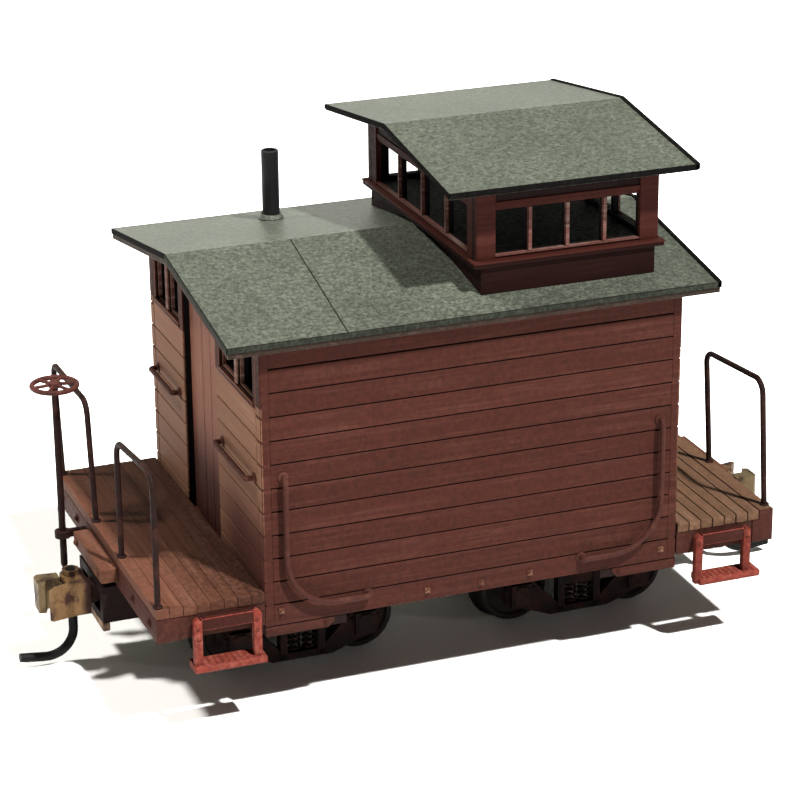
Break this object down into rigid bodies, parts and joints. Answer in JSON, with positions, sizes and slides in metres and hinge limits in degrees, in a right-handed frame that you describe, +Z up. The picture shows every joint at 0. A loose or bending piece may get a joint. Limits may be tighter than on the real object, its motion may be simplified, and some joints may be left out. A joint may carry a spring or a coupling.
{
  "type": "model caboose",
  "caption": "HO narrow-gauge logging caboose with cupola, open end platforms, railings, steps, hand brake, knuckle couplers and swivelling arch-bar trucks with rolling wheels.",
  "frame": {"origin": "on the surface that the wheel flanges stand on, below the centre of the car", "axes": "+X along the car towards the cupola end, -X towards the hand-brake end; +Y to the left looking along +X; +Z up"},
  "size_m": [0.0604, 0.0286, 0.0386],
  "materials": {
    "boxcar_red": "weathered matt red-brown paint over scribed boards",
    "deck_brown": "matt worn brown stain on planks",
    "roof_grey": "gritty matt grey-green roofing paper",
    "step_red": "satin red paint on cast metal",
    "wire_brown": "dark brown paint on bent wire",
    "stack_black": "sooty matt black",
    "underframe_brown": "matt black-brown",
    "coupler_brass": "dull brass, rust washed",
    "blackened_steel": "chemically blackened",
    "pin_steel": "plain steel"
  },
  "bodies": {
    "car_body": {"body_bolster_brake_end": "underframe_brown", "body_bolster_cupola_end": "underframe_brown", "brake_bracket": "wire_brown", "center_sill": "underframe_brown", "coupler_box_brake_end": "underframe_brown", "coupler_box_cupola_end": "underframe_brown", "cupola_base": "boxcar_red", "cupola_end_front": "boxcar_red", "cupola_end_rear": "boxcar_red", "cupola_roof": "roof_grey", "cupola_side_left": "boxcar_red", "cupola_side_right": "boxcar_red", "door_brake_end": "boxcar_red", "door_cupola_end": "boxcar_red", "end_grab_iron_brake_end_left": "wire_brown", "end_grab_iron_brake_end_right": "wire_brown", "end_grab_iron_cupola_end_left": "wire_brown", "end_grab_iron_cupola_end_right": "wire_brown", "end_railing_brake_end_left": "wire_brown", "end_railing_brake_end_right": "wire_brown", "end_railing_cupola_end_left": "wire_brown", "end_railing_cupola_end_right": "wire_brown", "end_sill_brake_end": "boxcar_red", "end_sill_cupola_end": "boxcar_red", "end_wall_brake_end": "boxcar_red", "end_wall_cupola_end": "boxcar_red", "king_pin_brake_end": "pin_steel", "king_pin_cupola_end": "pin_steel", "main_roof": "roof_grey", "platform_deck_brake_end": "deck_brown", "platform_deck_cupola_end": "deck_brown", "side_grab_iron_brake_end_left": "wire_brown", "side_grab_iron_brake_end_right": "wire_brown", "side_grab_iron_cupola_end_left": "wire_brown", "side_grab_iron_cupola_end_right": "wire_brown", "side_wall_left": "boxcar_red", "side_wall_right": "boxcar_red", "smoke_stack": "stack_black", "stack_flashing": "roof_grey", "step_brake_end_left": "step_red", "step_brake_end_right": "step_red", "step_cupola_end_left": "step_red", "step_cupola_end_right": "step_red", "striker_block_brake_end": "boxcar_red", "striker_block_cupola_end": "boxcar_red", "underframe_floor": "underframe_brown"},
    "truck_brake_end": {"truck_frame_brake_end": "underframe_brown"},
    "wheels_brake_end_inner": {"wheelset_brake_end_inner": "blackened_steel"},
    "wheels_brake_end_outer": {"wheelset_brake_end_outer": "blackened_steel"},
    "coupler_brake_end": {"coupler_head_brake_end": "coupler_brass", "trip_pin_brake_end": "blackened_steel"},
    "knuckle_brake_end": {"knuckle_brake_end": "coupler_brass"},
    "truck_cupola_end": {"truck_frame_cupola_end": "underframe_brown"},
    "wheels_cupola_end_inner": {"wheelset_cupola_end_inner": "blackened_steel"},
    "wheels_cupola_end_outer": {"wheelset_cupola_end_outer": "blackened_steel"},
    "coupler_cupola_end": {"coupler_head_cupola_end": "coupler_brass", "trip_pin_cupola_end": "blackened_steel"},
    "knuckle_cupola_end": {"knuckle_cupola_end": "coupler_brass"},
    "hand_brake": {"brake_staff": "wire_brown", "brake_wheel": "wire_brown"}
  },
  "joints": [
    {"name": "truck_swivel_brake_end", "type": "hinge", "parent": "car_body", "child": "truck_brake_end", "pos_m": [-0.011, 0, 0.0053], "axis": [0, 0, 1], "range_deg": [-8, 8]},
    {"name": "axle_brake_end_inner", "type": "hinge", "parent": "truck_brake_end", "child": "wheels_brake_end_inner", "pos_m": [-0.0062, 0, 0.00305], "axis": [0, 1, 0], "continuous": true},
    {"name": "axle_brake_end_outer", "type": "hinge", "parent": "truck_brake_end", "child": "wheels_brake_end_outer", "pos_m": [-0.0158, 0, 0.00305], "axis": [0, 1, 0], "continuous": true},
    {"name": "coupler_swing_brake_end", "type": "hinge", "parent": "car_body", "child": "coupler_brake_end", "pos_m": [-0.0218, 0, 0.00585], "axis": [0, 0, 1], "range_deg": [-8, 8], "stiffness_Nm_per_rad": 0.0002},
    {"name": "knuckle_open_brake_end", "type": "hinge", "parent": "coupler_brake_end", "child": "knuckle_brake_end", "pos_m": [-0.0261, 0.00075, 0.00585], "axis": [0, 0, -1], "range_deg": [0, 28], "stiffness_Nm_per_rad": 0.00002},
    {"name": "truck_swivel_cupola_end", "type": "hinge", "parent": "car_body", "child": "truck_cupola_end", "pos_m": [0.011, 0, 0.0053], "axis": [0, 0, 1], "range_deg": [-8, 8]},
    {"name": "axle_cupola_end_inner", "type": "hinge", "parent": "truck_cupola_end", "child": "wheels_cupola_end_inner", "pos_m": [0.0062, 0, 0.00305], "axis": [0, 1, 0], "continuous": true},
    {"name": "axle_cupola_end_outer", "type": "hinge", "parent": "truck_cupola_end", "child": "wheels_cupola_end_outer", "pos_m": [0.0158, 0, 0.00305], "axis": [0, 1, 0], "continuous": true},
    {"name": "coupler_swing_cupola_end", "type": "hinge", "parent": "car_body", "child": "coupler_cupola_end", "pos_m": [0.0218, 0, 0.00585], "axis": [0, 0, 1], "range_deg": [-8, 8], "stiffness_Nm_per_rad": 0.0002},
    {"name": "knuckle_open_cupola_end", "type": "hinge", "parent": "coupler_cupola_end", "child": "knuckle_cupola_end", "pos_m": [0.0261, -0.00075, 0.00585], "axis": [0, 0, -1], "range_deg": [0, 28], "stiffness_Nm_per_rad": 0.00002},
    {"name": "brake_wheel_turn", "type": "hinge", "parent": "car_body", "child": "hand_brake", "pos_m": [-0.02545, 0.00525, 0.02], "axis": [0, 0, 1], "continuous": true}
  ]
}
